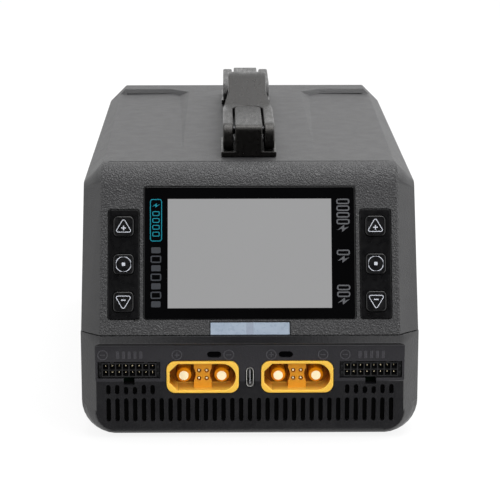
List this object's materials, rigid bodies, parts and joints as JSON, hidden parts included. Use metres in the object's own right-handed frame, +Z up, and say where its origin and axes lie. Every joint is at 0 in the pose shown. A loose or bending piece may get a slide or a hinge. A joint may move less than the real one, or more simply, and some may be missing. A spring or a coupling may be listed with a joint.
{
  "type": "balance battery charger",
  "caption": "Mains balance charger for model battery packs: wedge-fronted case with a display, keypads, battery sockets, rear fans and an arched carrying handle.",
  "frame": {"origin": "on the ground under the middle of the case: the centre of the bottom of its bounding box", "axes": "+X to the right as seen from the front, +Y from the display face to the rear, +Z up"},
  "size_m": [0.152, 0.262, 0.1456],
  "materials": {
    "case_top": "moulded grey plastic with a fine spark-eroded grain",
    "case_base": "moulded charcoal plastic, fine grain",
    "window_gloss": "glossy black display window",
    "black_plastic": "satin black plastic",
    "handle_plastic": "fine-grained black plastic",
    "button_plastic": "satin black keys with pale legends",
    "light_guide": "milky light guide",
    "yellow_plastic": "amber-yellow connector plastic",
    "gold_contact": "gold-plated contacts",
    "steel": "plated steel",
    "blackened_steel": "blackened handle pins",
    "circuit_board": "green solder mask",
    "aluminium": "extruded",
    "winding": "taped winding on a ferrite core",
    "capacitor_sleeve": "dark sleeve",
    "rubber": "moulded rubber feet"
  },
  "bodies": {
    "case": {"upper_shell": "case_top", "lower_shell": "case_base", "rear_panel": "case_base", "display_window": "window_gloss", "left_keypad_bezel": "black_plastic", "right_keypad_bezel": "black_plastic", "left_balance_header": "black_plastic", "right_balance_header": "black_plastic", "usb_tongue": "black_plastic", "left_fan_frame": "black_plastic", "right_fan_frame": "black_plastic", "ac_inlet": "black_plastic", "power_switch_housing": "black_plastic", "front_handle_mount": "handle_plastic", "rear_handle_mount": "handle_plastic", "light_bar": "light_guide", "left_output_connector": "yellow_plastic", "right_output_connector": "yellow_plastic", "left_positive_pin": "gold_contact", "left_negative_pin": "gold_contact", "right_positive_pin": "gold_contact", "right_negative_pin": "gold_contact", "left_signal_pins": "gold_contact", "right_signal_pins": "gold_contact", "left_balance_pins": "gold_contact", "right_balance_pins": "gold_contact", "lcd_module": "steel", "usb_shell": "steel", "inlet_pins": "steel", "front_handle_pin": "blackened_steel", "rear_handle_pin": "blackened_steel", "front_left_case_screw": "steel", "front_right_case_screw": "steel", "rear_left_case_screw": "steel", "rear_right_case_screw": "steel", "display_board": "circuit_board", "left_switch_board": "circuit_board", "right_switch_board": "circuit_board", "output_board": "circuit_board", "power_board": "circuit_board", "left_heatsink": "aluminium", "right_heatsink": "aluminium", "transformer": "winding", "front_bulk_capacitor": "capacitor_sleeve", "rear_bulk_capacitor": "capacitor_sleeve", "front_left_foot": "rubber", "front_right_foot": "rubber", "rear_left_foot": "rubber", "rear_right_foot": "rubber"},
    "handle_grip_body": {"handle_grip": "handle_plastic"},
    "left_fan_rotor_body": {"left_fan_rotor": "black_plastic"},
    "right_fan_rotor_body": {"right_fan_rotor": "black_plastic"},
    "power_switch_rocker_body": {"power_switch_rocker": "black_plastic"},
    "left_up_button_body": {"left_up_button": "button_plastic"},
    "left_select_button_body": {"left_select_button": "button_plastic"},
    "left_down_button_body": {"left_down_button": "button_plastic"},
    "right_up_button_body": {"right_up_button": "button_plastic"},
    "right_select_button_body": {"right_select_button": "button_plastic"},
    "right_down_button_body": {"right_down_button": "button_plastic"}
  },
  "joints": [
    {"name": "left_up_press", "type": "slide", "parent": "case", "child": "left_up_button_body", "axis": [0, 0.9336, -0.3584], "range_m": [0, 0.0006], "stiffness_N_per_m": 800},
    {"name": "left_select_press", "type": "slide", "parent": "case", "child": "left_select_button_body", "axis": [0, 0.9336, -0.3584], "range_m": [0, 0.0006], "stiffness_N_per_m": 800},
    {"name": "left_down_press", "type": "slide", "parent": "case", "child": "left_down_button_body", "axis": [0, 0.9336, -0.3584], "range_m": [0, 0.0006], "stiffness_N_per_m": 800},
    {"name": "right_up_press", "type": "slide", "parent": "case", "child": "right_up_button_body", "axis": [0, 0.9336, -0.3584], "range_m": [0, 0.0006], "stiffness_N_per_m": 800},
    {"name": "right_select_press", "type": "slide", "parent": "case", "child": "right_select_button_body", "axis": [0, 0.9336, -0.3584], "range_m": [0, 0.0006], "stiffness_N_per_m": 800},
    {"name": "right_down_press", "type": "slide", "parent": "case", "child": "right_down_button_body", "axis": [0, 0.9336, -0.3584], "range_m": [0, 0.0006], "stiffness_N_per_m": 800},
    {"name": "left_fan_spin", "type": "hinge", "parent": "case", "child": "left_fan_rotor_body", "pos_m": [-0.033, 0.116, 0.08], "axis": [0, 1, 0], "continuous": true},
    {"name": "right_fan_spin", "type": "hinge", "parent": "case", "child": "right_fan_rotor_body", "pos_m": [0.033, 0.116, 0.08], "axis": [0, 1, 0], "continuous": true},
    {"name": "power_switch_rock", "type": "hinge", "parent": "case", "child": "power_switch_rocker_body", "pos_m": [0.022, 0.1223, 0.027], "axis": [1, 0, 0], "range_deg": [0, 20]},
    {"name": "handle_lift", "type": "slide", "parent": "case", "child": "handle_grip_body", "axis": [0, 0, 1], "range_m": [0, 0.004]}
  ]
}
